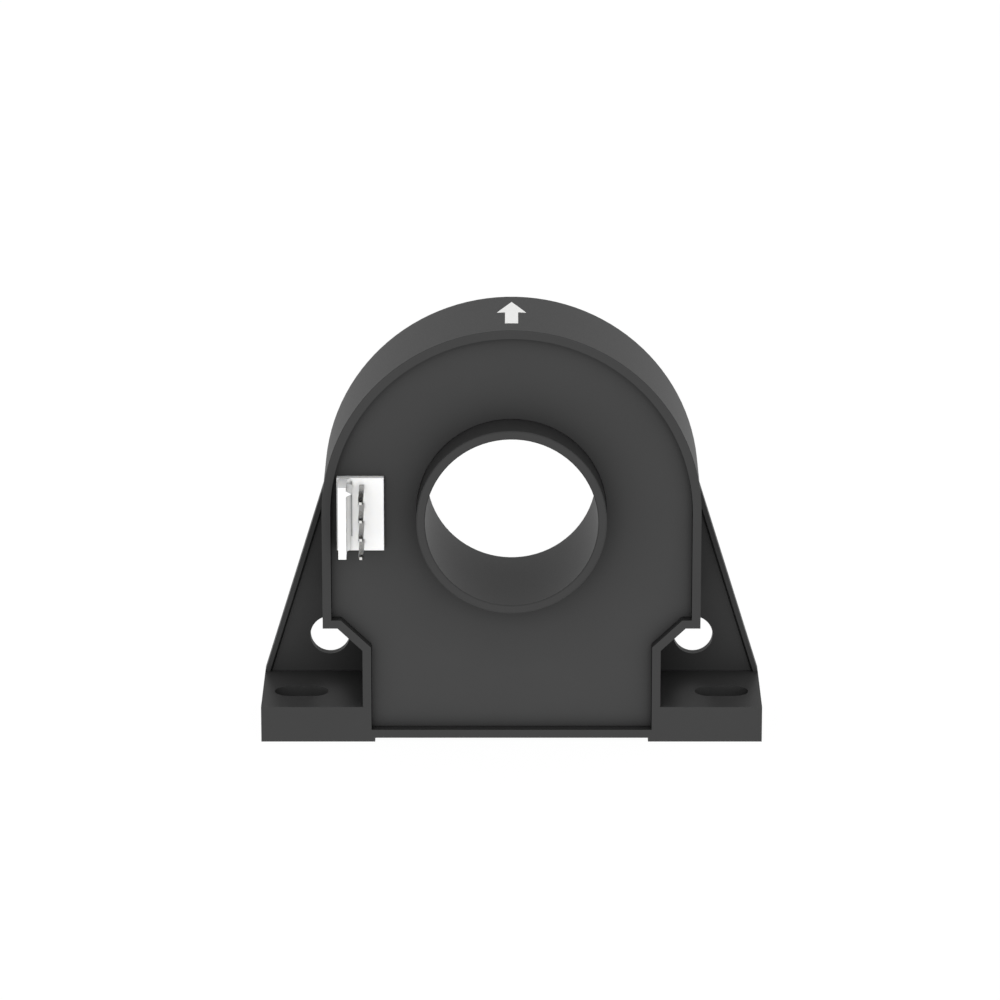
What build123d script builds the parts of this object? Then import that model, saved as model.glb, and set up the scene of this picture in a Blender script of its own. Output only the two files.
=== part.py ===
from build123d import *
import os
from math import atan, degrees, radians, tan

# Closed-loop hall current sensor, millimetres, +Z up, +Y from the front to the back.
# The origin lies on the base plane, midway between the centres of the two foot slots.

# Driving dimensions of the case
body_width = 50.0            # across the straight sides, and the diameter of the arch
body_depth = 17.0            # front rim to back face
arch_rise = 6.75             # base plane to the underside of the arch's full circle
rim_wall = 1.15              # wall in front, around the recessed cover
inner_wall = 2.0             # wall behind the cover, which makes the cover's seat
back_wall = 1.5
ledge_drop = 15.95           # arch centre to the ledge, where the sides turn inwards
ledge_length = 1.95          # flat part of the ledge, before the chamfer
chamfer_angle = 43.5         # slope of the chamfer from the ledge to the neck
neck_width = 39.55           # outside of the narrow part that stands on the base
underside_rise = 0.5         # gap under the body, between the two foot pads
edge_round = 0.12            # rounding of the front and back edges of the case

# Feet, slots and side webs
slot_spacing = 56.2
slot_width = 4.1
slot_length = 7.2
slot_setback = 6.6           # front face to the centre of the slots
foot_end_wall = 1.6          # wall outside the end of each slot
foot_height = 4.85
pad_inset = 1.625            # how far each foot reaches under the neck
web_thickness = 1.4
web_inset = 0.4              # back face to the back of the web
rib_proud = 0.55             # edge rib in front of the web
rib_width = 0.6
rib_groove_width = 0.28      # narrow groove in the web, along the rib
rib_groove_depth = 0.4
web_hole_diameter = 5.3
web_hole_offset = 4.725      # outside of the neck to the hole's centre
web_hole_z = 9.93

# Through tube
bore_diameter = 22.7
tube_wall = 1.15
tube_reach = 4.1             # how far the tube stands out in front of the rim
tube_edge_break = 0.15       # small chamfer on the tube's edges

# Front cover
cover_recess = 1.5
cover_thickness = 1.5
cover_clearance = 0.05

# Direction arrow on the arch
arrow_tip_inset = 3.0        # back face to the arrow's tip
arrow_length = 10.45
arrow_head_length = 5.0
arrow_head_width = 3.8
arrow_stem_width = 1.72
arrow_depth = 0.15
arrow_proud = 0.05

# Signal header
header_pins = 4
pin_spacing = 2.5
pin_size = 0.64
pin_reach = 7.5              # tip in front of the header's face
pin_tail = 0.4               # tail behind the board
pin_taper_length = 0.7
pin_end_size = 0.34
header_width = 6.2
header_end_trim = 0.015      # each end of the header, short of its full spacing
header_height = 3.7          # face to board
header_proud = 0.9           # face in front of the cover
header_relief = 0.15         # play around the header behind the cover
header_side_gap = 0.83       # header to the inside of the rim
header_drop = 0.255          # header's centre below the arch centre
pin_offset = 0.22            # pins from the header's centre, away from the lock wall
lock_wall_inset = 0.3
lock_wall_thickness = 1.04
lock_wall_height = 4.3
lock_wall_end_inset = 0.08
lug_size = 0.76
lug_width = 0.76
lug_inset = 0.46             # lug from the top end of the lock wall
root_ramp_width = 0.5
root_ramp_height = 0.67
root_groove_gap = 0.55       # groove from the inner face of the lock wall
root_groove_width = 0.15
root_groove_depth = 0.15
root_groove_inset = 0.45     # groove below the header's upper end
root_groove_share = 0.8      # share of the header's length

# Circuit board and its posts
board_thickness = 1.6
board_clearance = 0.3
board_tube_clearance = 0.4
post_diameter = 2.4
post_pin_diameter = 1.5
post_pin_clearance = 0.1
post_pin_reach = 0.5         # pin in front of the board
neck_post_inset = 3.575      # outside of the neck to the lower posts
neck_post_rise = 3.7         # underside to the lower posts
ledge_post_inset = 4.0       # outside of the straight sides to the upper posts
ledge_post_rise = 3.55       # ledge to the upper posts

# Core, its covers and the winding, which fill the ring between the tube and the wall
winding_tube_clearance = 0.3
winding_wall_clearance = 0.3
winding_board_clearance = 0.6
winding_thickness = 1.0
winding_corner = 0.8
core_cover_wall = 0.7
core_gap = 2.0
winding_free_angle = 26.0    # each side of the air gap
lead_diameter = 0.5
lead_bend = 1.0
lead_run = 1.6
lead_radius_inset = 0.5

# Hall element in the air gap
hall_thickness = 1.2
hall_width = 3.6
hall_length = 3.2
hall_lead_spacing = 0.95
hall_lead_size = 0.4
hall_window = 0.3            # play of the window in the front core cover
lead_reach = 0.5             # soldered leads in front of the board

# Parts on the board
transistor_width = 6.6
transistor_length = 7.1
transistor_height = 2.3
transistor_x = 9.6
transistor_z = 6.4
transistor_tab = 0.5
transistor_tab_width = 5.3
transistor_tab_length = 1.0  # tab beyond the moulded body
transistor_leg_width = 0.8
transistor_leg_length = 1.0
transistor_leg_spacing = 4.56
capacitor_diameter = 4.0
capacitor_height = 5.4
capacitor_base = 4.3
capacitor_base_height = 0.8
capacitor_rim = 0.4
capacitor_x = 2.6
capacitor_z = 5.3
amplifier_size = 3.0
amplifier_height = 1.1
amplifier_x = 4.5
amplifier_z = 12.2
chip_lead_width = 0.35
chip_lead_length = 0.9
chip_lead_spacing = 0.65
chip_lead_height = 0.2
diode_length = 2.8
diode_width = 1.7
diode_height = 1.0
diode_x = -13.4
diode_z = 13.6
diode_spacing = 3.2
measuring_resistor_length = 6.4
measuring_resistor_width = 3.2
measuring_resistor_height = 0.6
measuring_resistor_x = -6.2
measuring_resistor_z = 6.2
chip_resistor_length = 2.0
chip_resistor_width = 1.25
chip_resistor_height = 0.5
chip_resistor_x = 6.2
chip_resistor_z = 6.4
chip_resistor_spacing = 2.8
chip_resistor_row = 2.25
end_cap_share = 0.18         # metal ends of the flat resistors, share of their length
end_cap_proud = 0.05

# Places that follow from the dimensions
front_y = -slot_setback
back_y = front_y + body_depth
body_half = body_width / 2
arch_centre_z = body_half + arch_rise
ledge_z = arch_centre_z - ledge_drop
neck_half = neck_width / 2
foot_half = (slot_spacing + slot_length) / 2 + foot_end_wall
web_hole_x = neck_half + web_hole_offset
cover_front_y = front_y + cover_recess
cover_back_y = cover_front_y + cover_thickness
header_face_y = cover_front_y - header_proud
board_front_y = header_face_y + header_height
board_back_y = board_front_y + board_thickness
cavity_back_y = back_y - back_wall
tube_front_y = front_y - tube_reach
bore_radius = bore_diameter / 2
tube_radius = bore_radius + tube_wall
web_front_y = back_y - web_inset - web_thickness
rib_front_y = web_front_y - rib_proud
winding_inner_radius = tube_radius + winding_tube_clearance
cover_inner_radius = winding_inner_radius + winding_thickness
core_inner_radius = cover_inner_radius + core_cover_wall
winding_outer_radius = body_half - inner_wall - winding_wall_clearance
cover_outer_radius = winding_outer_radius - winding_thickness
core_outer_radius = cover_outer_radius - core_cover_wall
winding_front_y = board_back_y + winding_board_clearance
winding_back_y = cavity_back_y
core_cover_front_y = winding_front_y + winding_thickness
core_cover_back_y = winding_back_y - winding_thickness
core_front_y = core_cover_front_y + core_cover_wall
core_back_y = core_cover_back_y - core_cover_wall
core_middle_y = (core_front_y + core_back_y) / 2
core_middle_radius = (core_inner_radius + core_outer_radius) / 2
header_length = header_pins * pin_spacing - 2 * header_end_trim
header_centre_x = -(body_half - rim_wall - header_side_gap - header_width / 2)
header_centre_z = arch_centre_z - header_drop
pin_x = header_centre_x + pin_offset
post_places = [
    (side * x, z)
    for side in (-1, 1)
    for x, z in (
        (neck_half - neck_post_inset, underside_rise + neck_post_rise),
        (body_half - ledge_post_inset, ledge_z + ledge_post_rise),
    )
]


def slab(outline, low_y, high_y):
    # An outline drawn in X and Z, made solid from low_y to high_y
    return extrude(Plane.XZ.offset(-high_y) * outline, amount=high_y - low_y)


def rod(x, z, radius, low_y, high_y):
    return slab(Pos(x, z) * Circle(radius), low_y, high_y)


def bar(low, high):
    # A rectangular block between two corners
    size = [b - a for a, b in zip(low, high)]
    centre = [(a + b) / 2 for a, b in zip(low, high)]
    return Pos(*centre) * Box(*size)


def case_outline(inset):
    # The D shape with its ledges, chamfers and neck, moved inwards by inset
    radius = body_half - inset
    ledge = ledge_z + inset
    slope = radians(chamfer_angle)
    chamfer_x = body_half - ledge_length - inset * tan(slope / 2)
    neck_x = neck_half - inset
    neck_top = ledge - (chamfer_x - neck_x) * tan(slope)
    bottom = underside_rise + inset
    right = [
        (radius, arch_centre_z),
        (radius, ledge),
        (chamfer_x, ledge),
        (neck_x, neck_top),
        (neck_x, bottom),
    ]
    left = [(-x, z) for x, z in reversed(right)]
    sides = Polyline(*right, *left)
    arch = ThreePointArc(left[-1], (0, arch_centre_z + radius), right[0])
    return make_face(Curve() + [sides, arch])


def foot(side):
    solid = bar((neck_half - pad_inset, front_y, 0), (foot_half, back_y, foot_height))
    slot = Pos(slot_spacing / 2, 0) * SlotOverall(slot_length, slot_width)
    solid -= extrude(slot, amount=foot_height)
    return solid if side > 0 else mirror(solid, Plane.YZ)


def web(side):
    # Side web from the foot's outer corner to the side of the arch, with its edge rib
    # and the narrow groove beside the rib
    slope = (foot_half - body_half) / (arch_centre_z - foot_height)
    rib_across = rib_width * (1 + slope ** 2) ** 0.5
    plate = Polygon(
        (0, foot_height / 2),
        (foot_half, foot_height / 2),
        (foot_half, foot_height),
        (body_half, arch_centre_z),
        (0, arch_centre_z),
        align=None,
    )
    rib = Polygon(
        (foot_half, foot_height),
        (body_half, arch_centre_z),
        (body_half - rib_across, arch_centre_z),
        (foot_half - rib_across, foot_height),
        align=None,
    )
    rib_inside = rib_across + rib_groove_width * (1 + slope ** 2) ** 0.5
    groove = Polygon(
        (foot_half - rib_across, foot_height),
        (body_half - rib_across, arch_centre_z),
        (body_half - rib_inside, arch_centre_z),
        (foot_half - rib_inside, foot_height),
        align=None,
    )
    solid = slab(plate, web_front_y, web_front_y + web_thickness)
    solid -= slab(groove, web_front_y, web_front_y + rib_groove_depth)
    solid += slab(rib, rib_front_y, back_y)
    return solid if side > 0 else mirror(solid, Plane.YZ)


def through_tube():
    tube = rod(0, arch_centre_z, tube_radius, tube_front_y, back_y)
    return chamfer(tube.edges().sort_by(Axis.Y)[0], tube_edge_break)


def arrow_outline():
    half_stem = arrow_stem_width / 2
    half_head = arrow_head_width / 2
    tip_y = back_y - arrow_tip_inset
    neck_y = tip_y - arrow_head_length
    end_y = tip_y - arrow_length
    return Polygon(
        (0, tip_y),
        (-half_head, neck_y),
        (-half_stem, neck_y),
        (-half_stem, end_y),
        (half_stem, end_y),
        (half_stem, neck_y),
        (half_head, neck_y),
        align=None,
    )


def arrow_solid(outer_radius):
    # The arrow's outline, bent over the arch, from the pocket's floor to outer_radius
    prism = Pos(0, 0, arch_centre_z) * extrude(arrow_outline(), amount=outer_radius)
    ring = rod(0, arch_centre_z, outer_radius, front_y, back_y)
    ring -= rod(0, arch_centre_z, body_half - arrow_depth, front_y, back_y)
    return prism & ring


def header_relief_outline():
    # The wall behind the cover's seat makes room for the header
    relief = Rectangle(header_width + 2 * header_relief, header_length + 2 * header_relief)
    return Pos(header_centre_x, header_centre_z) * relief & case_outline(rim_wall)


def housing():
    body = slab(case_outline(0), front_y, back_y)
    ends = body.faces().sort_by(Axis.Y)
    body = fillet(ends[0].edges() + ends[-1].edges(), edge_round)
    for side in (-1, 1):
        body += foot(side)
        body += web(side)
    body -= slab(case_outline(rim_wall), front_y, cover_back_y)
    body -= slab(case_outline(inner_wall), cover_back_y, cavity_back_y)
    body -= slab(header_relief_outline(), cover_back_y, board_front_y)
    body += through_tube()
    body -= rod(0, arch_centre_z, bore_radius, tube_front_y, back_y)
    for side in (-1, 1):
        body -= rod(side * web_hole_x, web_hole_z, web_hole_diameter / 2, rib_front_y, back_y)
    for x, z in post_places:
        body += rod(x, z, post_diameter / 2, board_back_y, cavity_back_y)
        body += rod(x, z, post_pin_diameter / 2, board_front_y - post_pin_reach, board_back_y)
    body -= arrow_solid(body_half + edge_round)
    bore_rims = [
        edge for edge in body.edges().filter_by(GeomType.CIRCLE)
        if abs(edge.radius - bore_radius) < 0.01
    ]
    return chamfer(bore_rims, tube_edge_break)


def front_cover():
    plate = slab(case_outline(rim_wall + cover_clearance), cover_front_y, cover_back_y)
    plate -= rod(0, arch_centre_z, tube_radius + cover_clearance, cover_front_y, cover_back_y)
    window = Rectangle(header_width + 2 * cover_clearance, header_length + 2 * cover_clearance)
    return plate - slab(Pos(header_centre_x, header_centre_z) * window, cover_front_y, cover_back_y)


def header_body():
    left_x = header_centre_x - header_width / 2
    low_z = header_centre_z - header_length / 2
    high_z = header_centre_z + header_length / 2
    wall_x = left_x + lock_wall_inset
    wall_inner_x = wall_x + lock_wall_thickness
    wall_low_z = low_z + lock_wall_end_inset
    wall_high_z = high_z - lock_wall_end_inset
    wall_front_y = header_face_y - lock_wall_height
    body = bar((left_x, header_face_y, low_z), (left_x + header_width, board_front_y, high_z))
    body += bar((wall_x, wall_front_y, wall_low_z), (wall_inner_x, header_face_y, wall_high_z))
    lug_z = wall_high_z - lug_inset - lug_width / 2
    lug = Polygon(
        (wall_inner_x, lug_z - lug_width / 2),
        (wall_inner_x + lug_size, lug_z),
        (wall_inner_x, lug_z + lug_width / 2),
        align=None,
    )
    body += slab(lug, wall_front_y, header_face_y)
    ramp = Polygon(
        (wall_inner_x, header_face_y),
        (wall_inner_x, header_face_y - root_ramp_height),
        (wall_inner_x + root_ramp_width, header_face_y),
        align=None,
    )
    body += Pos(0, 0, wall_low_z) * extrude(ramp, amount=wall_high_z - wall_low_z)
    groove_x = wall_inner_x + root_groove_gap
    groove_low_z = high_z - root_groove_share * header_length
    body -= bar(
        (groove_x, header_face_y, groove_low_z),
        (groove_x + root_groove_width, header_face_y + root_groove_depth, high_z - root_groove_inset),
    )
    for z in pin_heights():
        body -= slab(Pos(pin_x, z) * Rectangle(pin_size, pin_size), header_face_y, board_front_y)
    return body


def pin_heights():
    # Pin 1 is the uppermost
    top = header_centre_z + (header_pins - 1) * pin_spacing / 2
    return [top - index * pin_spacing for index in range(header_pins)]


def header_pin(z):
    section = Pos(pin_x, z) * Rectangle(pin_size, pin_size)
    taper_y = header_face_y - pin_reach + pin_taper_length
    shank = slab(section, taper_y, board_back_y + pin_tail)
    taper = degrees(atan((pin_size - pin_end_size) / 2 / pin_taper_length))
    tip = extrude(Plane.XZ.offset(-taper_y) * section, amount=pin_taper_length, taper=taper)
    return shank + tip


def hall_lead_heights():
    centre = arch_centre_z - core_middle_radius
    return [centre + (index - 1.5) * hall_lead_spacing for index in range(4)]


def lead_places():
    # Where the two winding leads go through the board
    radius = winding_outer_radius - lead_radius_inset
    end = Vector(0, -radius).rotate(Axis.Z, winding_free_angle)
    place = end + Vector(-lead_run, 0).rotate(Axis.Z, winding_free_angle)
    end_z = arch_centre_z + end.Y
    place_z = arch_centre_z + place.Y
    return [(side * place.X, place_z, side * end.X, end_z) for side in (-1, 1)]


def circuit_board():
    board = slab(case_outline(inner_wall + board_clearance), board_front_y, board_back_y)
    board -= rod(0, arch_centre_z, tube_radius + board_tube_clearance, board_front_y, board_back_y)
    for x, z in post_places:
        radius = post_pin_diameter / 2 + post_pin_clearance
        board -= rod(x, z, radius, board_front_y, board_back_y)
    for z in pin_heights():
        board -= slab(Pos(pin_x, z) * Rectangle(pin_size, pin_size), board_front_y, board_back_y)
    for z in hall_lead_heights():
        board -= slab(Pos(0, z) * Rectangle(hall_lead_size, hall_lead_size), board_front_y, board_back_y)
    for x, z, _, _ in lead_places():
        board -= rod(x, z, lead_diameter / 2, board_front_y, board_back_y)
    return board


def ring(inner_radius, outer_radius, low_y, high_y):
    return rod(0, arch_centre_z, outer_radius, low_y, high_y) - rod(
        0, arch_centre_z, inner_radius, low_y, high_y
    )


def magnetic_core():
    # The air gap is at the bottom of the ring, over the neck
    air_gap = bar(
        (-core_gap / 2, core_front_y, arch_centre_z - cover_outer_radius),
        (core_gap / 2, core_back_y, arch_centre_z - cover_inner_radius),
    )
    return ring(core_inner_radius, core_outer_radius, core_front_y, core_back_y) - air_gap


def core_cover(low_y, high_y):
    shell = ring(cover_inner_radius, cover_outer_radius, low_y, high_y)
    return shell - ring(core_inner_radius, core_outer_radius, core_front_y, core_back_y)


def core_cover_front():
    cover = core_cover(core_cover_front_y, core_middle_y)
    centre_z = arch_centre_z - core_middle_radius
    window = bar(
        (-hall_thickness / 2 - hall_window, core_cover_front_y, centre_z - hall_width / 2 - hall_window),
        (hall_thickness / 2 + hall_window, core_front_y, centre_z + hall_width / 2 + hall_window),
    )
    return cover - window


def core_cover_rear():
    return core_cover(core_middle_y, core_cover_back_y)


def secondary_winding():
    outer = ring(winding_inner_radius, winding_outer_radius, winding_front_y, winding_back_y)
    outer = fillet(outer.edges().filter_by(GeomType.CIRCLE), winding_corner)
    shell = outer - ring(cover_inner_radius, cover_outer_radius, core_cover_front_y, core_cover_back_y)
    reach = 2 * winding_outer_radius
    half_open = reach * tan(radians(winding_free_angle))
    wedge = Polygon((0, 0), (-half_open, -reach), (half_open, -reach), align=None)
    return shell - slab(Pos(0, arch_centre_z) * wedge, winding_front_y, winding_back_y)


def winding_lead(place):
    # From the winding's end face along the ring, then forward through the board
    x, z, start_x, start_z = place
    start = (start_x, core_middle_y, start_z)
    turn = (x, core_middle_y, z)
    end = (x, board_front_y - lead_reach, z)
    path = FilletPolyline(start, turn, end, radius=lead_bend)
    section = Plane(start, z_dir=Vector(*turn) - Vector(*start)) * Circle(lead_diameter / 2)
    return sweep(section, path=path)


def hall_element():
    centre_z = arch_centre_z - core_middle_radius
    low_y = core_middle_y - hall_length / 2
    body = bar(
        (-hall_thickness / 2, low_y, centre_z - hall_width / 2),
        (hall_thickness / 2, low_y + hall_length, centre_z + hall_width / 2),
    )
    for z in hall_lead_heights():
        lead = Pos(0, z) * Rectangle(hall_lead_size, hall_lead_size)
        body += slab(lead, board_front_y - lead_reach, low_y)
    return body


def chip(x, z, width, length, height, low_y, lead_side, lead_count, lead_pitch, lead_reach_x):
    # A moulded chip on the board, with flat leads on both long sides
    centre_y = low_y + lead_side * height / 2
    body = Pos(x, centre_y, z) * Box(width, height, length)
    lead_y = low_y + lead_side * chip_lead_height / 2
    for index in range(lead_count):
        lead_z = z + (index - (lead_count - 1) / 2) * lead_pitch
        body += Pos(x, lead_y, lead_z) * Box(
            width + 2 * lead_reach_x, chip_lead_height, chip_lead_width
        )
    return body


def driver_amplifier():
    return chip(
        amplifier_x, amplifier_z, amplifier_size, amplifier_size, amplifier_height,
        board_front_y, -1, 4, chip_lead_spacing, chip_lead_length,
    )


def supply_diode(index):
    x = diode_x + index * diode_spacing
    return chip(
        x, diode_z, diode_width, diode_length, diode_height,
        board_front_y, -1, 1, 0, chip_lead_length / 2,
    )


def output_transistor(side):
    # Flat package with its metal tab below and two legs above
    x = side * transistor_x
    low_z = transistor_z - transistor_length / 2
    high_z = transistor_z + transistor_length / 2
    tab_y = board_back_y + transistor_tab
    half_width = transistor_width / 2
    half_tab = transistor_tab_width / 2
    package = bar(
        (x - half_width, board_back_y, low_z + transistor_tab_length),
        (x + half_width, board_back_y + transistor_height, high_z - transistor_leg_length),
    )
    package += bar((x - half_tab, board_back_y, low_z), (x + half_tab, tab_y, high_z - transistor_leg_length))
    for leg_x in (x - transistor_leg_spacing / 2, x + transistor_leg_spacing / 2):
        package += bar(
            (leg_x - transistor_leg_width / 2, board_back_y, transistor_z),
            (leg_x + transistor_leg_width / 2, tab_y, high_z),
        )
    return package


def supply_capacitor(side):
    x = side * capacitor_x
    base = Pos(x, board_back_y + capacitor_base_height / 2, capacitor_z) * Box(
        capacitor_base, capacitor_base_height, capacitor_base
    )
    can = rod(x, capacitor_z, capacitor_diameter / 2, board_back_y, board_back_y + capacitor_height)
    rim = can.edges().sort_by(Axis.Y)[-1]
    return fillet(rim, capacitor_rim) + base


def flat_resistor(x, z, length, width, height):
    # Ceramic chip with raised metal ends
    block = bar(
        (x - length / 2, board_front_y - height + end_cap_proud, z - width / 2),
        (x + length / 2, board_front_y, z + width / 2),
    )
    cap = length * end_cap_share
    for side in (-1, 1):
        centre_x = x + side * (length - cap) / 2
        block += bar(
            (centre_x - cap / 2, board_front_y - height, z - width / 2),
            (centre_x + cap / 2, board_front_y, z + width / 2),
        )
    return block


def measuring_resistor():
    return flat_resistor(
        measuring_resistor_x, measuring_resistor_z,
        measuring_resistor_length, measuring_resistor_width, measuring_resistor_height,
    )


def gain_resistor(index):
    x = chip_resistor_x + (index % 2) * chip_resistor_spacing
    z = chip_resistor_z - (index // 2) * chip_resistor_row
    return flat_resistor(x, z, chip_resistor_length, chip_resistor_width, chip_resistor_height)


def build_nodes():
    nodes = {
        "housing": housing(),
        "front_cover": front_cover(),
        "direction_arrow": arrow_solid(body_half + arrow_proud),
        "header_body": header_body(),
        "circuit_board": circuit_board(),
        "magnetic_core": magnetic_core(),
        "core_cover_front": core_cover_front(),
        "core_cover_rear": core_cover_rear(),
        "secondary_winding": secondary_winding(),
        "hall_element": hall_element(),
        "driver_amplifier": driver_amplifier(),
        "measuring_resistor": measuring_resistor(),
    }
    for index, z in enumerate(pin_heights()):
        nodes[f"header_pin_{index + 1}"] = header_pin(z)
    for name, place in zip(("winding_lead_start", "winding_lead_finish"), lead_places()):
        nodes[name] = winding_lead(place)
    for index, side in enumerate((-1, 1)):
        nodes[f"output_transistor_{index + 1}"] = output_transistor(side)
        nodes[f"supply_capacitor_{index + 1}"] = supply_capacitor(side)
        nodes[f"supply_diode_{index + 1}"] = supply_diode(index)
    for index in range(4):
        nodes[f"gain_resistor_{index + 1}"] = gain_resistor(index)
    return nodes


os.makedirs("parts", exist_ok=True)
for name, solid in build_nodes().items():
    export_step(solid, f"parts/{name}.step")
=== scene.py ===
import bpy
import math
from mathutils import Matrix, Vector

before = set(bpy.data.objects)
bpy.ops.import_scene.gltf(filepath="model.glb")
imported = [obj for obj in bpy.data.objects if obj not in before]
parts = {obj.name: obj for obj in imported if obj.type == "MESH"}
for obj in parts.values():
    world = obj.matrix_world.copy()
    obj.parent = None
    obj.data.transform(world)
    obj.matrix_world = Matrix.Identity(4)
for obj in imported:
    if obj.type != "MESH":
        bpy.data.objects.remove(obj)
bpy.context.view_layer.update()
mm = 0.001  # sizes are written in millimetres, Blender works in metres
print("current sensor: frame loaded,", len(parts), "parts")


def toLinear(code):
    # sRGB hex to the linear values that the shader sockets take
    channels = [int(code[i:i + 2], 16) / 255 for i in (1, 3, 5)]
    return [c / 12.92 if c <= 0.04045 else ((c + 0.055) / 1.055) ** 2.4 for c in channels] + [1.0]


def addNode(tree, kind, settings=None, links=None):
    # settings: attributes and socket values, links: socket name or number to (node, output)
    node = tree.nodes.new(kind)
    for key, value in (settings or {}).items():
        if isinstance(key, int) or key in node.inputs:
            node.inputs[key].default_value = value
        else:
            setattr(node, key, value)
    for key, (source, output) in (links or {}).items():
        tree.links.new(source.outputs[output], node.inputs[key])
    return node


def newMaterial(name):
    material = bpy.data.materials.new(name)
    material.use_nodes = True
    material.node_tree.nodes.clear()
    return material, material.node_tree


def finishMaterial(tree, shader):
    addNode(tree, "ShaderNodeOutputMaterial", links={"Surface": (shader, 0)})


def dress(material, *names):
    for name in names:
        for slot in parts[name].material_slots:
            slot.material = material


# Camera: the photograph's long lens, a little above the object and square to its front
camera = {
    "place": (0, -755.79, 264.01),
    "tilt": 72.908,      # degrees up from straight down
    "lens": 214.66,
    "sensor": 36,
    "shift": -0.01157,
    "clip": (0.01, 50),  # metres
}

cameraData = bpy.data.cameras.new("photoCamera")
cameraData.lens = camera["lens"]
cameraData.sensor_width = camera["sensor"]
cameraData.shift_x = camera["shift"]
cameraData.clip_start, cameraData.clip_end = camera["clip"]
cameraObject = bpy.data.objects.new("photoCamera", cameraData)
cameraObject.location = [v * mm for v in camera["place"]]
cameraObject.rotation_euler = (math.radians(camera["tilt"]), 0, 0)
bpy.context.collection.objects.link(cameraObject)
bpy.context.scene.camera = cameraObject
print("current sensor: camera set")

# Housing and cover: glass filled PBT, injection moulded, dark grey
# a matt skin with a fine spark eroded grain, and shade painted into its colour in corners and recesses
housing = {
    "colour": "#3C3C3C",
    "paler": "#3F3F3F",
    "roughness": 0.36,
    "spread": 0.05,       # how far the roughness wanders to each side
    "specular": 0.06,
    "ior": 1.5,
    "paintedShadeReach": 10.0,  # mm, how far the painted shade in corners reaches
    "paintedShadePower": 0.45,  # how deep the painted shade gets
    "grain": 0.22,        # mm, real grain is about 0.05 mm, drawn coarser so that it shows
    "grainDepth": 0.002,  # mm
    "bump": 0.6,
    "flow": 9.0,          # mm, faint clouding along the flow of the melt
}
# the cover is painted a little paler than the housing: painted light that lifts its recessed face
# against the shade there
cover = {**housing, "colour": "#404040", "paler": "#434343"}


def mouldedPbt(name, look):
    material, tree = newMaterial(name)
    place = addNode(tree, "ShaderNodeTexCoord")
    flow = addNode(
        tree, "ShaderNodeTexNoise",
        {"Scale": 1 / (look["flow"] * mm), "Detail": 3.0}, {"Vector": (place, "Object")},
    )
    grain = addNode(
        tree, "ShaderNodeTexNoise",
        {"Scale": 1 / (look["grain"] * mm), "Detail": 2.0}, {"Vector": (place, "Object")},
    )
    colour = addNode(
        tree, "ShaderNodeMix",
        {"data_type": "RGBA", 6: toLinear(look["colour"]), 7: toLinear(look["paler"])},
        {0: (flow, "Fac")},
    )
    # painted shade: the colour is darkened where a point is closed in, in corners and recesses
    paintedShadeAo = addNode(
        tree, "ShaderNodeAmbientOcclusion",
        {"samples": 8, "only_local": False, "Distance": look["paintedShadeReach"] * mm},
    )
    paintedShade = addNode(
        tree, "ShaderNodeMath", {"operation": "POWER", 1: look["paintedShadePower"]}, {0: (paintedShadeAo, "AO")},
    )
    colourWithPaintedShade = addNode(
        tree, "ShaderNodeVectorMath", {"operation": "SCALE"},
        {"Vector": (colour, "Result"), "Scale": (paintedShade, "Value")},
    )
    rough = addNode(
        tree, "ShaderNodeMapRange",
        {"To Min": look["roughness"] - look["spread"], "To Max": look["roughness"] + look["spread"]},
        {"Value": (grain, "Fac")},
    )
    bump = addNode(
        tree, "ShaderNodeBump",
        {"Strength": look["bump"], "Distance": look["grainDepth"] * mm}, {"Height": (grain, "Fac")},
    )
    shader = addNode(
        tree, "ShaderNodeBsdfPrincipled",
        {"Specular IOR Level": look["specular"], "IOR": look["ior"]},
        {"Base Color": (colourWithPaintedShade, "Vector"), "Roughness": (rough, "Result"), "Normal": (bump, "Normal")},
    )
    finishMaterial(tree, shader)
    return material


dress(mouldedPbt("casePbtMoulded", housing), "housing")
dress(mouldedPbt("coverPbtMoulded", cover), "front_cover")

# Header: natural white polyamide, injection moulded, lets a little light in; shade is painted into its
# colour in tight corners
header = {
    "colour": "#FDFDFC",
    "paler": "#FFFFFE",
    "roughness": 0.42,
    "spread": 0.05,
    "soft": 0.4,          # share of the light that spreads inside
    "depth": 0.5,         # mm, how far it spreads
    "softRadius": (1.0, 0.95, 0.85),
    "flow": 2.4,          # mm
    "grain": 0.12,        # mm
    "grainDepth": 0.002,  # mm
    "bump": 0.3,
    "paintedShadeReach": 0.6,   # mm, how far the painted shade in corners reaches
    "paintedShadeFrom": 0.5,    # openness of a corner that gets the full painted shade
    "paintedShadeLeft": 0.4,   # what is left of the colour under the full painted shade
}
# Core covers: unfilled polyamide too, cream and dense enough to keep the light out; their corners also
# get painted shade
coreCovers = {
    **header,
    "colour": "#D9CFB4",
    "paler": "#E4DCC6",
    "roughness": 0.55,
    "soft": 0.0,
    "depth": 0.1,
    "flow": 4.0,
    "grain": 0.2,
    "paintedShadeReach": 2.0,
    "paintedShadeLeft": 0.6,
}


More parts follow.
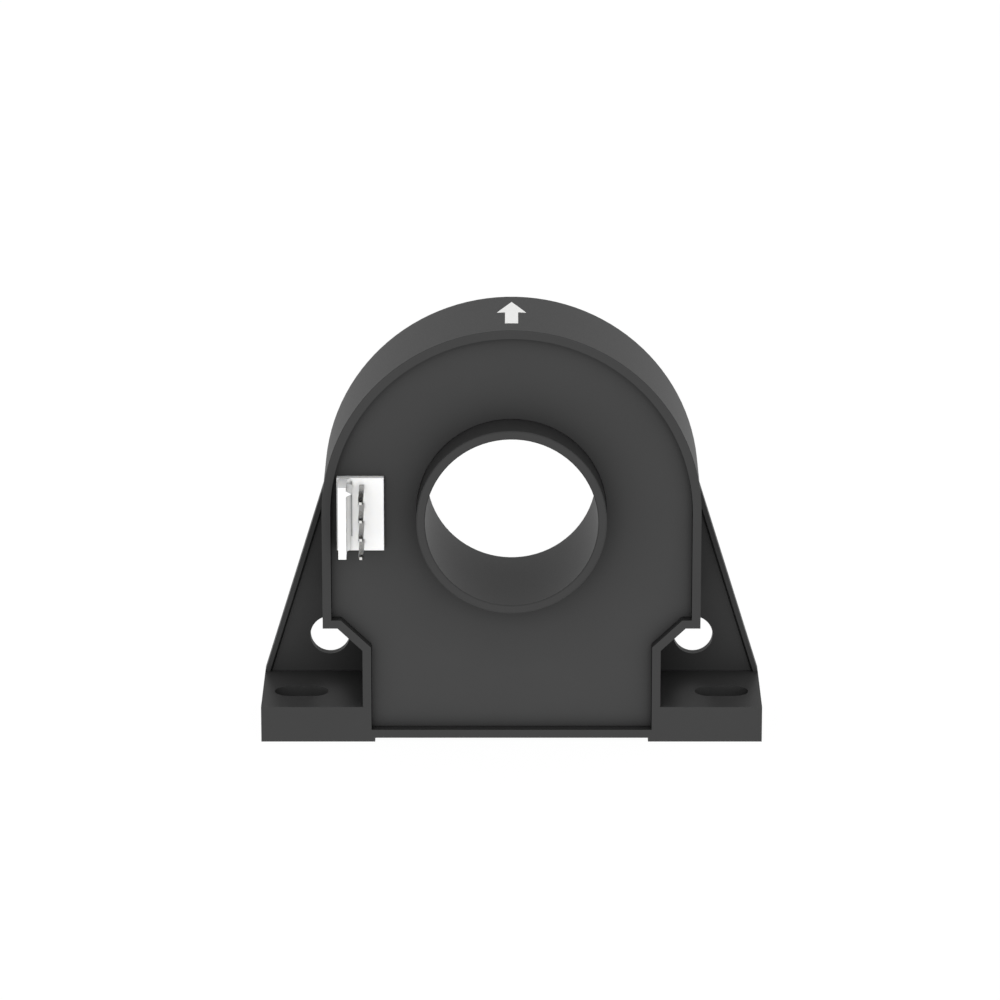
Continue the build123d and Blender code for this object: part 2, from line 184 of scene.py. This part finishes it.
def mouldedPolyamide(name, look):
    material, tree = newMaterial(name)
    place = addNode(tree, "ShaderNodeTexCoord")
    flow = addNode(
        tree, "ShaderNodeTexNoise",
        {"Scale": 1 / (look["flow"] * mm), "Detail": 2.0}, {"Vector": (place, "Object")},
    )
    grain = addNode(
        tree, "ShaderNodeTexNoise",
        {"Scale": 1 / (look["grain"] * mm), "Detail": 1.0}, {"Vector": (place, "Object")},
    )
    colour = addNode(
        tree, "ShaderNodeMix",
        {"data_type": "RGBA", 6: toLinear(look["colour"]), 7: toLinear(look["paler"])},
        {0: (flow, "Fac")},
    )
    # painted shade: the colour is darkened in tight corners and crevices
    paintedShadeAo = addNode(
        tree, "ShaderNodeAmbientOcclusion",
        {"samples": 8, "only_local": True, "Distance": look["paintedShadeReach"] * mm},
    )
    paintedShade = addNode(
        tree, "ShaderNodeMapRange",
        {"From Min": look["paintedShadeFrom"], "To Min": look["paintedShadeLeft"]}, {"Value": (paintedShadeAo, "AO")},
    )
    colourWithPaintedShade = addNode(
        tree, "ShaderNodeVectorMath", {"operation": "SCALE"},
        {"Vector": (colour, "Result"), "Scale": (paintedShade, "Result")},
    )
    rough = addNode(
        tree, "ShaderNodeMapRange",
        {"To Min": look["roughness"] - look["spread"], "To Max": look["roughness"] + look["spread"]},
        {"Value": (grain, "Fac")},
    )
    bump = addNode(
        tree, "ShaderNodeBump",
        {"Strength": look["bump"], "Distance": look["grainDepth"] * mm}, {"Height": (grain, "Fac")},
    )
    shader = addNode(
        tree, "ShaderNodeBsdfPrincipled",
        {
            "Subsurface Weight": look["soft"],
            "Subsurface Scale": look["depth"] * mm,
            "Subsurface Radius": look["softRadius"],
        },
        {"Base Color": (colourWithPaintedShade, "Vector"), "Roughness": (rough, "Result"), "Normal": (bump, "Normal")},
    )
    finishMaterial(tree, shader)
    return material


dress(mouldedPolyamide("headerPolyamideMoulded", header), "header_body")
dress(mouldedPolyamide("corePolyamideMoulded", coreCovers), "core_cover_front", "core_cover_rear")

# Pins: square brass wire, drawn, then tin plated, with fine marks along the wire and matt ends where the
# wire was cut, painted near white as a highlight
pins = {
    "colour": "#9C9B99",
    "darker": "#7B7A78",
    "smoothest": 0.16,   # roughness beside the drawing marks
    "roughest": 0.36,    # and in them
    "mark": 0.05,        # mm, how wide a drawing mark is
    "markLength": 1.6,   # mm
    "markDepth": 0.003,  # mm
    "bump": 0.4,
    "end": -13.47,       # mm, the cut ends lie in front of this plane
    # the cut ends are a real matt face, coloured near white as a painted highlight
    "endHighlightColour": "#F2F1EF",
    "endRoughness": 0.6,
}


def tinPlatedWire():
    material, tree = newMaterial("pinBrassTinPlated")
    place = addNode(tree, "ShaderNodeTexCoord")
    where = addNode(tree, "ShaderNodeSeparateXYZ", {}, {0: (place, "Object")})
    end = addNode(
        tree, "ShaderNodeMath", {"operation": "LESS_THAN", 1: pins["end"] * mm}, {0: (where, "Y")},
    )
    # the noise is stretched along the wire
    perMark = [1 / (v * mm) for v in (pins["mark"], pins["markLength"], pins["mark"])]
    stretched = addNode(
        tree, "ShaderNodeVectorMath", {"operation": "MULTIPLY", 1: perMark}, {0: (place, "Object")},
    )
    marks = addNode(
        tree, "ShaderNodeTexNoise", {"Scale": 1.0, "Detail": 2.0}, {"Vector": (stretched, "Vector")},
    )
    drawn = addNode(
        tree, "ShaderNodeMix",
        {"data_type": "RGBA", 6: toLinear(pins["darker"]), 7: toLinear(pins["colour"])},
        {0: (marks, "Fac")},
    )
    colour = addNode(
        tree, "ShaderNodeMix", {"data_type": "RGBA", 7: toLinear(pins["endHighlightColour"])},
        {0: (end, 0), 6: (drawn, "Result")},
    )
    smooth = addNode(
        tree, "ShaderNodeMapRange",
        {"To Min": pins["smoothest"], "To Max": pins["roughest"]}, {"Value": (marks, "Fac")},
    )
    rough = addNode(
        tree, "ShaderNodeMix", {3: pins["endRoughness"]}, {0: (end, 0), 2: (smooth, "Result")},
    )
    bump = addNode(
        tree, "ShaderNodeBump",
        {"Strength": pins["bump"], "Distance": pins["markDepth"] * mm}, {"Height": (marks, "Fac")},
    )
    shader = addNode(
        tree, "ShaderNodeBsdfPrincipled", {"Metallic": 1.0},
        {"Base Color": (colour, "Result"), "Roughness": (rough, "Result"), "Normal": (bump, "Normal")},
    )
    finishMaterial(tree, shader)
    return material


dress(tinPlatedWire(), *[f"header_pin_{i}" for i in (1, 2, 3, 4)])

# Direction arrow: white two-part ink, pad printed on the housing, a little thinner in specks
arrow = {
    "colour": "#FEFEFD",
    "thin": "#F8F8F6",
    "roughness": 0.55,
    "speck": 0.35,             # mm
    "speckRange": (0.3, 0.5),  # noise below the first is thin ink, above the second full ink
    "inkDepth": 0.004,         # mm
    "bump": 0.4,
}


def padPrintedInk():
    material, tree = newMaterial("arrowInkPadPrinted")
    place = addNode(tree, "ShaderNodeTexCoord")
    speck = addNode(
        tree, "ShaderNodeTexNoise",
        {"Scale": 1 / (arrow["speck"] * mm), "Detail": 3.0}, {"Vector": (place, "Object")},
    )
    thin = addNode(
        tree, "ShaderNodeMapRange",
        {"From Min": arrow["speckRange"][0], "From Max": arrow["speckRange"][1]},
        {"Value": (speck, "Fac")},
    )
    colour = addNode(
        tree, "ShaderNodeMix",
        {"data_type": "RGBA", 6: toLinear(arrow["thin"]), 7: toLinear(arrow["colour"])},
        {0: (thin, "Result")},
    )
    bump = addNode(
        tree, "ShaderNodeBump",
        {"Strength": arrow["bump"], "Distance": arrow["inkDepth"] * mm}, {"Height": (speck, "Fac")},
    )
    shader = addNode(
        tree, "ShaderNodeBsdfPrincipled", {"Roughness": arrow["roughness"]},
        {"Base Color": (colour, "Result"), "Normal": (bump, "Normal")},
    )
    finishMaterial(tree, shader)
    return material


dress(padPrintedInk(), "direction_arrow")

# Finishes of the small parts inside, each with its own faint mottle
tinPlate = {"colour": "#B7B6B0", "paler": "#CDCCC7", "roughness": 0.3, "metallic": 1.0}
chipEpoxy = {"colour": "#1D1D1E", "paler": "#29292A", "roughness": 0.55, "metallic": 0.0}
alumina = {"colour": "#E6E3DB", "paler": "#F2F0EA", "roughness": 0.6, "metallic": 0.0}
canAluminium = {"colour": "#BFC1C3", "paler": "#D3D5D6", "roughness": 0.26, "metallic": 1.0}
canBase = {"colour": "#18181A", "paler": "#232325", "roughness": 0.5, "metallic": 0.0}
enamel = {"colour": "#8E451C", "paler": "#B4652E", "roughness": 0.24, "metallic": 0.8}
mottle = {
    "bodyGrain": 0.3,     # mm, on moulded, fired and drawn bodies
    "leadGrain": 0.15,    # mm, on what stands out of them
    "spread": 0.06,       # how far the roughness wanders to each side
    "grainDepth": 0.004,  # mm
    "bump": 0.3,
}


def mottled(tree, place, look, grain):
    # colour and roughness of one finish
    noise = addNode(
        tree, "ShaderNodeTexNoise",
        {"Scale": 1 / (grain * mm), "Detail": 2.0}, {"Vector": (place, "Object")},
    )
    colour = addNode(
        tree, "ShaderNodeMix",
        {"data_type": "RGBA", 6: toLinear(look["colour"]), 7: toLinear(look["paler"])},
        {0: (noise, "Fac")},
    )
    rough = addNode(
        tree, "ShaderNodeMapRange",
        {"To Min": look["roughness"] - mottle["spread"], "To Max": look["roughness"] + mottle["spread"]},
        {"Value": (noise, "Fac")},
    )
    return colour, rough, noise


def twoFinishes(name, inside, outside, axis, middle, half, film=None):
    # one finish between two planes across an axis and another beyond them, in mm
    # film: a dark layer on the face in front of a plane across Y
    material, tree = newMaterial(name)
    place = addNode(tree, "ShaderNodeTexCoord")
    where = addNode(tree, "ShaderNodeSeparateXYZ", {}, {0: (place, "Object")})
    share = addNode(
        tree, "ShaderNodeMath", {"operation": "COMPARE", 1: middle * mm, 2: half * mm},
        {0: (where, axis)},
    )
    insideColour, insideRough, grain = mottled(tree, place, inside, mottle["bodyGrain"])
    outsideColour, outsideRough, _ = mottled(tree, place, outside, mottle["leadGrain"])
    if film:
        front = addNode(
            tree, "ShaderNodeMath", {"operation": "LESS_THAN", 1: film["plane"] * mm},
            {0: (where, "Y")},
        )
        insideColour = addNode(
            tree, "ShaderNodeMix", {"data_type": "RGBA", 7: toLinear(film["colour"])},
            {0: (front, 0), 6: (insideColour, "Result")},
        )
    colour = addNode(
        tree, "ShaderNodeMix", {"data_type": "RGBA"},
        {0: (share, 0), 6: (outsideColour, "Result"), 7: (insideColour, "Result")},
    )
    rough = addNode(
        tree, "ShaderNodeMix", {},
        {0: (share, 0), 2: (outsideRough, "Result"), 3: (insideRough, "Result")},
    )
    metal = addNode(
        tree, "ShaderNodeMapRange",
        {"To Min": outside["metallic"], "To Max": inside["metallic"]}, {"Value": (share, 0)},
    )
    bump = addNode(
        tree, "ShaderNodeBump",
        {"Strength": mottle["bump"], "Distance": mottle["grainDepth"] * mm},
        {"Height": (grain, "Fac")},
    )
    shader = addNode(
        tree, "ShaderNodeBsdfPrincipled", {},
        {
            "Base Color": (colour, "Result"),
            "Roughness": (rough, "Result"),
            "Metallic": (metal, "Result"),
            "Normal": (bump, "Normal"),
        },
    )
    finishMaterial(tree, shader)
    return material


# each line: material, finish inside, finish outside, axis, middle and half width in mm, parts
smallParts = [
    ("hallEpoxyTinnedLeads", chipEpoxy, tinPlate, "Y", 4.4, 1.6, ["hall_element"]),
    ("amplifierEpoxyTinnedLeads", chipEpoxy, tinPlate, "X", 4.5, 1.5, ["driver_amplifier"]),
    ("transistorEpoxyTinnedTab", chipEpoxy, tinPlate, "Z", 6.4, 2.55,
     ["output_transistor_1", "output_transistor_2"]),
    ("capacitorAluminiumCan", canAluminium, canBase, "Y", 2.45, 2.35,
     ["supply_capacitor_1", "supply_capacitor_2"]),
    ("windingLeadEnamelledTinned", enamel, tinPlate, "Y", 3.0, 3.4,
     ["winding_lead_start", "winding_lead_finish"]),
    ("diodeEpoxyTinnedLeads", chipEpoxy, tinPlate, "X", -13.4, 0.85, ["supply_diode_1"]),
    ("diodeEpoxyTinnedLeads", chipEpoxy, tinPlate, "X", -10.2, 0.85, ["supply_diode_2"]),
]
for name, inside, outside, axis, middle, half, names in smallParts:
    dress(twoFinishes(name, inside, outside, axis, middle, half), *names)

# resistors: fired alumina with tinned ends and a dark film on the front, planes in mm
resistors = {
    "chipFilm": {"colour": "#161617", "plane": -2.73},
    "chipHalf": 0.64,
    "chipMiddles": (6.2, 9.0, 6.2, 9.0),
    "measuringFilm": {"colour": "#161617", "plane": -2.83},
    "measuringHalf": 2.048,
    "measuringMiddle": -6.2,
}
for number, middle in enumerate(resistors["chipMiddles"], 1):
    dress(
        twoFinishes(
            "chipResistorAlumina", alumina, tinPlate, "X", middle,
            resistors["chipHalf"], resistors["chipFilm"],
        ),
        f"gain_resistor_{number}",
    )
dress(
    twoFinishes(
        "measuringResistorAlumina", alumina, tinPlate, "X", resistors["measuringMiddle"],
        resistors["measuringHalf"], resistors["measuringFilm"],
    ),
    "measuring_resistor",
)

# Ring parts: patterns that follow the ring around the conductor
ringCentre = (0, 0, 31.75)


def fromCentre(tree, place, flatten):
    # place seen from the ring's centre, with one axis left out
    centre = [-c * f * mm for c, f in zip(ringCentre, flatten)]
    return addNode(
        tree, "ShaderNodeVectorMath", {"operation": "MULTIPLY_ADD", 1: flatten, 2: centre},
        {0: (place, "Object")},
    )


# Core: nickel iron strip wound into a ring, its edges show as fine rings
core = {
    "colour": "#9E9B94",
    "paler": "#BDBAB2",
    "smoothest": 0.26,
    "roughest": 0.44,
    "strip": 0.2,        # mm, thickness of the strip
    "stripDepth": 0.02,  # mm
    "mottle": 1.2,       # mm
    "bump": 0.5,
}


def stripWoundCore():
    material, tree = newMaterial("coreNickelIronStripWound")
    place = addNode(tree, "ShaderNodeTexCoord")
    flat = fromCentre(tree, place, (1, 0, 1))
    radius = addNode(tree, "ShaderNodeVectorMath", {"operation": "LENGTH"}, {0: (flat, "Vector")})
    turns = addNode(
        tree, "ShaderNodeMath", {"operation": "MULTIPLY", 1: 2 * math.pi / (core["strip"] * mm)},
        {0: (radius, "Value")},
    )
    wave = addNode(tree, "ShaderNodeMath", {"operation": "SINE"}, {0: (turns, 0)})
    strips = addNode(
        tree, "ShaderNodeMapRange", {"From Min": -1.0, "From Max": 1.0}, {"Value": (wave, 0)},
    )
    colour = addNode(
        tree, "ShaderNodeMix",
        {"data_type": "RGBA", 6: toLinear(core["colour"]), 7: toLinear(core["paler"])},
        {0: (strips, "Result")},
    )
    patches = addNode(
        tree, "ShaderNodeTexNoise",
        {"Scale": 1 / (core["mottle"] * mm), "Detail": 3.0}, {"Vector": (place, "Object")},
    )
    rough = addNode(
        tree, "ShaderNodeMapRange",
        {"To Min": core["smoothest"], "To Max": core["roughest"]}, {"Value": (patches, "Fac")},
    )
    bump = addNode(
        tree, "ShaderNodeBump",
        {"Strength": core["bump"], "Distance": core["stripDepth"] * mm},
        {"Height": (strips, "Result")},
    )
    shader = addNode(
        tree, "ShaderNodeBsdfPrincipled", {"Metallic": 1.0},
        {"Base Color": (colour, "Result"), "Roughness": (rough, "Result"), "Normal": (bump, "Normal")},
    )
    finishMaterial(tree, shader)
    return material


dress(stripWoundCore(), "magnetic_core")

# Winding: enamelled copper wire, the turns lie side by side around the ring
winding = {
    "colour": "#8E451C",
    "paler": "#C0703A",
    "smoothest": 0.16,
    "roughest": 0.32,
    "turns": 330,
    "wireShare": 0.6,  # height of the wave at which a wire is full
    "wireDepth": 0.1,  # mm
    "bump": 1.0,
    "mottle": 1.5,     # mm
    "metallic": 0.85,
    "coat": 0.6,       # clear enamel
    "coatRoughness": 0.12,
}


def enamelledWinding():
    material, tree = newMaterial("windingCopperEnamelled")
    place = addNode(tree, "ShaderNodeTexCoord")
    flat = fromCentre(tree, place, (1, 0, 1))
    where = addNode(tree, "ShaderNodeSeparateXYZ", {}, {0: (flat, "Vector")})
    angle = addNode(
        tree, "ShaderNodeMath", {"operation": "ARCTAN2"}, {0: (where, "X"), 1: (where, "Z")},
    )
    turns = addNode(
        tree, "ShaderNodeMath", {"operation": "MULTIPLY", 1: float(winding["turns"])}, {0: (angle, 0)},
    )
    wave = addNode(tree, "ShaderNodeMath", {"operation": "SINE"}, {0: (turns, 0)})
    wires = addNode(
        tree, "ShaderNodeMapRange",
        {"From Min": -1.0, "From Max": winding["wireShare"]}, {"Value": (wave, 0)},
    )
    colour = addNode(
        tree, "ShaderNodeMix",
        {"data_type": "RGBA", 6: toLinear(winding["colour"]), 7: toLinear(winding["paler"])},
        {0: (wires, "Result")},
    )
    patches = addNode(
        tree, "ShaderNodeTexNoise",
        {"Scale": 1 / (winding["mottle"] * mm), "Detail": 3.0}, {"Vector": (place, "Object")},
    )
    rough = addNode(
        tree, "ShaderNodeMapRange",
        {"To Min": winding["smoothest"], "To Max": winding["roughest"]}, {"Value": (patches, "Fac")},
    )
    bump = addNode(
        tree, "ShaderNodeBump",
        {"Strength": winding["bump"], "Distance": winding["wireDepth"] * mm},
        {"Height": (wires, "Result")},
    )
    shader = addNode(
        tree, "ShaderNodeBsdfPrincipled",
        {
            "Metallic": winding["metallic"],
            "Coat Weight": winding["coat"],
            "Coat Roughness": winding["coatRoughness"],
        },
        {"Base Color": (colour, "Result"), "Roughness": (rough, "Result"), "Normal": (bump, "Normal")},
    )
    finishMaterial(tree, shader)
    return material


dress(enamelledWinding(), "secondary_winding")

# Board: glass epoxy laminate, green solder mask over copper tracks, tinned pads around the leads
board = {
    "mask": "#1B5436",
    "track": "#2B7350",
    "laminate": "#B5A36F",
    "pad": "#C4C3BE",
    "roughness": 0.3,
    "cutRoughness": 0.75,        # on the sawn edges
    "trackStep": 1.27,           # mm
    "trackRange": (0.2, 0.35),   # height of the wave where a track starts and is full
    "zone": 5.0,                 # mm, patches whose tracks run the same way
    "weave": 0.45,               # mm, glass cloth under the mask
    "weaveShare": 0.15,
    "depth": 0.03,               # mm, height of a track
    "bump": 0.6,
    # x, middle z, spacing and radius in mm of each row of four pads
    "padRows": [(-19.7, 31.495, 2.5, 0.85), (0, 14.0, 0.95, 0.42)],
}


def solderMaskedBoard():
    material, tree = newMaterial("boardGlassEpoxySolderMask")
    place = addNode(tree, "ShaderNodeTexCoord")
    where = addNode(tree, "ShaderNodeSeparateXYZ", {}, {0: (place, "Object")})

    # tracks in X or Z, by zone, and the weave of the cloth
    waves = []
    for step in (board["trackStep"], board["weave"]):
        for axis in ("X", "Z"):
            phase = addNode(
                tree, "ShaderNodeMath", {"operation": "MULTIPLY", 1: 2 * math.pi / (step * mm)},
                {0: (where, axis)},
            )
            waves.append(addNode(tree, "ShaderNodeMath", {"operation": "SINE"}, {0: (phase, 0)}))
    trackX, trackZ, weaveX, weaveZ = waves
    zones = addNode(
        tree, "ShaderNodeTexVoronoi", {"distance": "CHEBYCHEV", "Scale": 1 / (board["zone"] * mm)},
        {"Vector": (place, "Object")},
    )
    zone = addNode(tree, "ShaderNodeSeparateColor", {}, {0: (zones, "Color")})
    way = addNode(tree, "ShaderNodeMath", {"operation": "GREATER_THAN", 1: 0.5}, {0: (zone, "Red")})
    runs = addNode(tree, "ShaderNodeMix", {}, {0: (way, 0), 2: (trackX, 0), 3: (trackZ, 0)})
    tracks = addNode(
        tree, "ShaderNodeMapRange",
        {"From Min": board["trackRange"][0], "From Max": board["trackRange"][1]},
        {"Value": (runs, "Result")},
    )
    colour = addNode(
        tree, "ShaderNodeMix",
        {"data_type": "RGBA", 6: toLinear(board["mask"]), 7: toLinear(board["track"])},
        {0: (tracks, "Result")},
    )

    # bare laminate where the normal turns away from Y
    facing = addNode(tree, "ShaderNodeNewGeometry")
    turned = addNode(tree, "ShaderNodeSeparateXYZ", {}, {0: (facing, "Normal")})
    edge = addNode(
        tree, "ShaderNodeMath", {"operation": "COMPARE", 1: 0.0, 2: 0.5}, {0: (turned, "Y")},
    )
    colour = addNode(
        tree, "ShaderNodeMix", {"data_type": "RGBA", 7: toLinear(board["laminate"])},
        {0: (edge, 0), 6: (colour, "Result")},
    )

    # round pads, by the distance to each pad's centre with Y left out
    flat = addNode(
        tree, "ShaderNodeVectorMath", {"operation": "MULTIPLY", 1: (1, 0, 1)}, {0: (place, "Object")},
    )
    pads = None
    for x, middle, spacing, radius in board["padRows"]:
        for step in (-1.5, -0.5, 0.5, 1.5):
            centre = (x * mm, 0, (middle + step * spacing) * mm)
            distance = addNode(
                tree, "ShaderNodeVectorMath", {"operation": "DISTANCE", 1: centre},
                {0: (flat, "Vector")},
            )
            pad = addNode(
                tree, "ShaderNodeMath", {"operation": "LESS_THAN", 1: radius * mm},
                {0: (distance, "Value")},
            )
            if pads:
                pad = addNode(
                    tree, "ShaderNodeMath", {"operation": "MAXIMUM"}, {0: (pads, 0), 1: (pad, 0)},
                )
            pads = pad
    colour = addNode(
        tree, "ShaderNodeMix", {"data_type": "RGBA", 7: toLinear(board["pad"])},
        {0: (pads, 0), 6: (colour, "Result")},
    )

    height = tracks
    output = "Result"
    for weave in (weaveX, weaveZ):
        height = addNode(
            tree, "ShaderNodeMath", {"operation": "MULTIPLY_ADD", 1: board["weaveShare"]},
            {0: (weave, 0), 2: (height, output)},
        )
        output = "Value"
    bump = addNode(
        tree, "ShaderNodeBump",
        {"Strength": board["bump"], "Distance": board["depth"] * mm}, {"Height": (height, output)},
    )
    rough = addNode(
        tree, "ShaderNodeMapRange",
        {"To Min": board["roughness"], "To Max": board["cutRoughness"]}, {"Value": (edge, 0)},
    )
    shader = addNode(
        tree, "ShaderNodeBsdfPrincipled", {},
        {
            "Base Color": (colour, "Result"),
            "Roughness": (rough, "Result"),
            "Metallic": (pads, 0),
            "Normal": (bump, "Normal"),
        },
    )
    finishMaterial(tree, shader)
    return material


dress(solderMaskedBoard(), "circuit_board")
print("current sensor: materials done")

# Stage and light: a white paper sweep, lit softly from the front
stage = {
    "floorSize": 6000,
    "floorDrop": 0.02,     # mm, keeps the floor and the undersides of the feet apart
    "floorColour": "#F2F2F2",
    "floorWhite": 1.03,    # brightness of the floor's own white
    "floorShare": 0.94,    # share of it that the camera sees, the rest takes the shadow
    "ambient": 0.77,
    "reflected": 0.6,      # brightness of the studio in reflections
    "aim": (0, 0, 30),     # mm, where the lamps point
}

bpy.ops.object.select_all(action="DESELECT")
bpy.ops.mesh.primitive_plane_add(
    size=stage["floorSize"] * mm, location=(0, 0, -stage["floorDrop"] * mm),
)
floor = bpy.context.object
floor.name = "studioFloor"
floorMaterial, floorTree = newMaterial("paperFloor")
rays = addNode(floorTree, "ShaderNodeLightPath")
paper = addNode(floorTree, "ShaderNodeBsdfDiffuse", {"Color": toLinear(stage["floorColour"])})
brightness = addNode(
    floorTree, "ShaderNodeMapRange",
    {"To Min": stage["floorWhite"], "To Max": stage["reflected"]}, {"Value": (rays, "Is Glossy Ray")},
)
glow = addNode(
    floorTree, "ShaderNodeEmission", {"Color": (1, 1, 1, 1)}, {"Strength": (brightness, "Result")},
)
seenShare = addNode(
    floorTree, "ShaderNodeMath", {"operation": "MULTIPLY", 1: stage["floorShare"]},
    {0: (rays, "Is Camera Ray")},
)
share = addNode(
    floorTree, "ShaderNodeMath", {"operation": "MAXIMUM"},
    {0: (seenShare, 0), 1: (rays, "Is Glossy Ray")},
)
floorMix = addNode(
    floorTree, "ShaderNodeMixShader", {}, {0: (share, 0), 1: (paper, 0), 2: (glow, 0)},
)
finishMaterial(floorTree, floorMix)
floor.data.materials.append(floorMaterial)
# the floor casts no shade on the object and lets the low lamp through, and still takes the shadow
floor.visible_diffuse = False
floor.visible_shadow = False

# two large soft lamps in front: one a little above the object, one low, for the light that a
# white sweep throws up; sizes and places in mm, power in watts
lamps = {
    "frontSoftbox": {"size": (1400, 1000), "place": (0, -1434.5, 468.6), "power": 9.0},
    "lowSoftbox": {"size": (2000, 1400), "place": (0, -1324.4, -674.2), "power": 4.75},
}
for name, lamp in lamps.items():
    lampData = bpy.data.lights.new(name, "AREA")
    lampData.shape = "RECTANGLE"
    lampData.size, lampData.size_y = [v * mm for v in lamp["size"]]
    lampData.energy = lamp["power"]
    lampObject = bpy.data.objects.new(name, lampData)
    lampObject.location = [v * mm for v in lamp["place"]]
    aim = Vector([v * mm for v in stage["aim"]]) - lampObject.location
    lampObject.rotation_euler = aim.to_track_quat("-Z", "Y").to_euler()
    bpy.context.collection.objects.link(lampObject)

# the camera sees pure white, the object is lit by a dimmer one
world = bpy.data.worlds.new("studioWorld")
bpy.context.scene.world = world
world.use_nodes = True
worldTree = world.node_tree
worldTree.nodes.clear()
worldRays = addNode(worldTree, "ShaderNodeLightPath")
seen = addNode(
    worldTree, "ShaderNodeMath", {"operation": "MAXIMUM"},
    {0: (worldRays, "Is Camera Ray"), 1: (worldRays, "Is Transmission Ray")},
)
dimmed = addNode(
    worldTree, "ShaderNodeMapRange",
    {"To Min": stage["ambient"], "To Max": stage["reflected"]},
    {"Value": (worldRays, "Is Glossy Ray")},
)
strength = addNode(
    worldTree, "ShaderNodeMath", {"operation": "MAXIMUM"}, {0: (seen, 0), 1: (dimmed, "Result")},
)
sky = addNode(
    worldTree, "ShaderNodeBackground", {"Color": (1, 1, 1, 1)}, {"Strength": (strength, 0)},
)
addNode(worldTree, "ShaderNodeOutputWorld", links={"Surface": (sky, 0)})

bpy.context.scene.view_settings.view_transform = "Standard"
print("current sensor: stage and light done")
